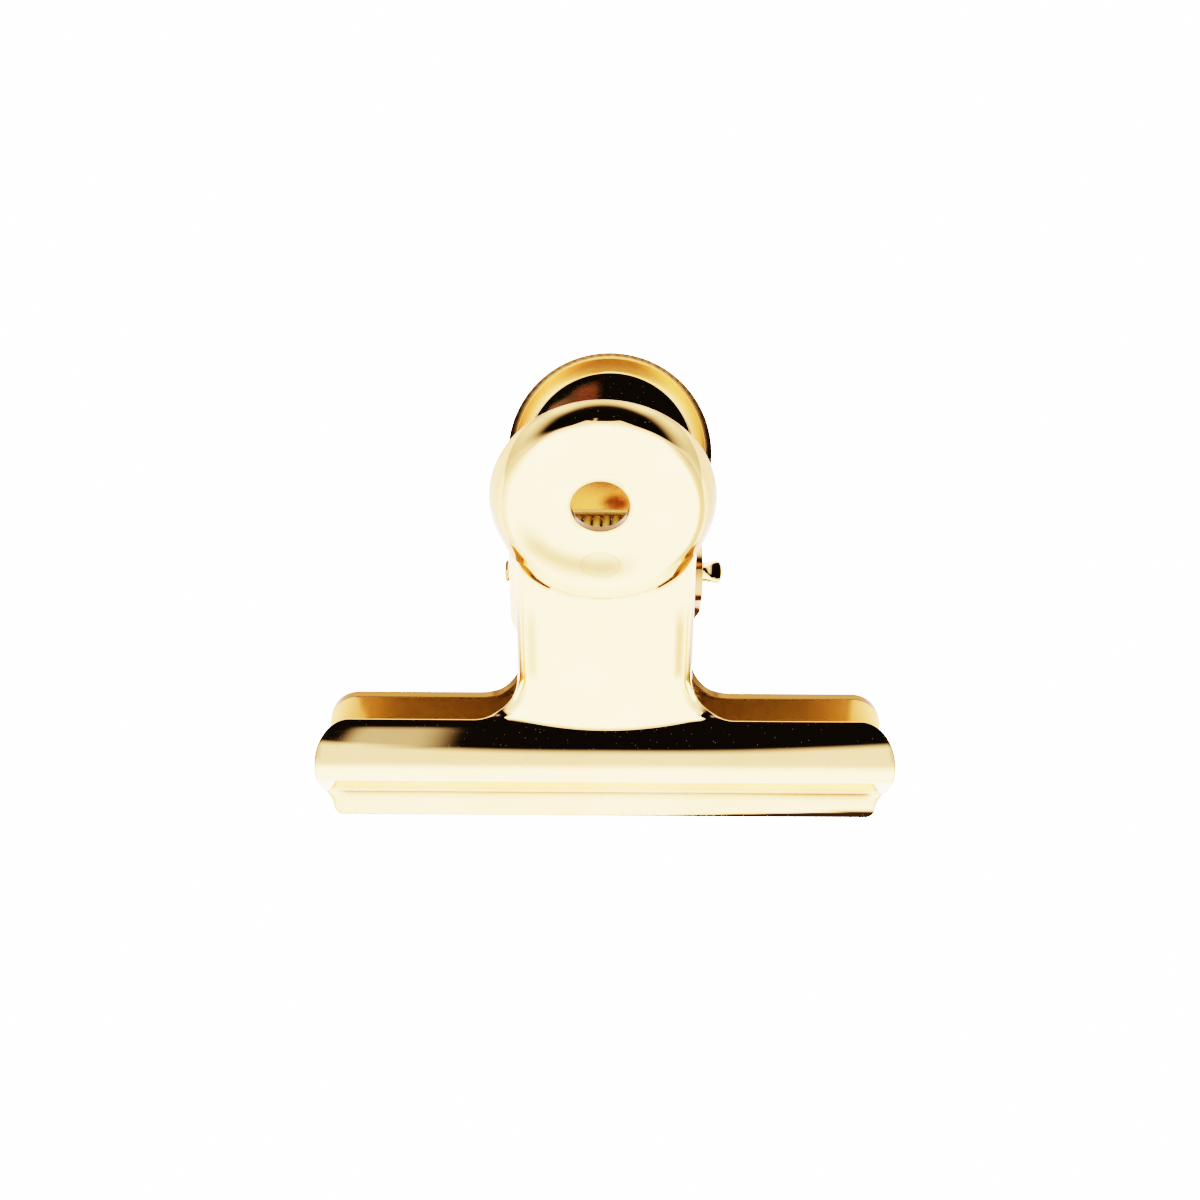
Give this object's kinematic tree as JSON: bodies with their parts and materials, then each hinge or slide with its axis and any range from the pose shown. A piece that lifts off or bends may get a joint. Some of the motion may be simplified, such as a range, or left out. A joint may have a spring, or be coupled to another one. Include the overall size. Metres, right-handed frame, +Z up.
{
  "type": "bulldog clip",
  "caption": "Stamped sheet-metal letter clip with wide curved jaws, a short flanged neck and round cupped handles with a hanging hole, turning on a sprung wire pin.",
  "frame": {"origin": "centre of the clip's bounding box at the table, with the clip lying on its rear plate", "axes": "+X along the jaws, +Y from the lips towards the handles, +Z up, out of the front plate's side"},
  "size_m": [0.03, 0.025, 0.0164],
  "materials": {
    "gold_plate": "polished",
    "gold_wire": "polished",
    "spring_wire": "gloss"
  },
  "bodies": {
    "rear_half": {"rear_jaw_plate": "gold_plate", "pivot_pin": "gold_wire", "torsion_spring": "spring_wire"},
    "front_half": {"front_jaw_plate": "gold_plate"}
  },
  "joints": [
    {"name": "jaw_pivot", "type": "hinge", "parent": "rear_half", "child": "front_half", "pos_m": [0, 0.00052, 0.00579], "axis": [-1, 0, 0], "range_deg": [0, 72], "stiffness_Nm_per_rad": 0.05, "springref_deg": -68.75, "deforming": ["torsion_spring"]}
  ]
}
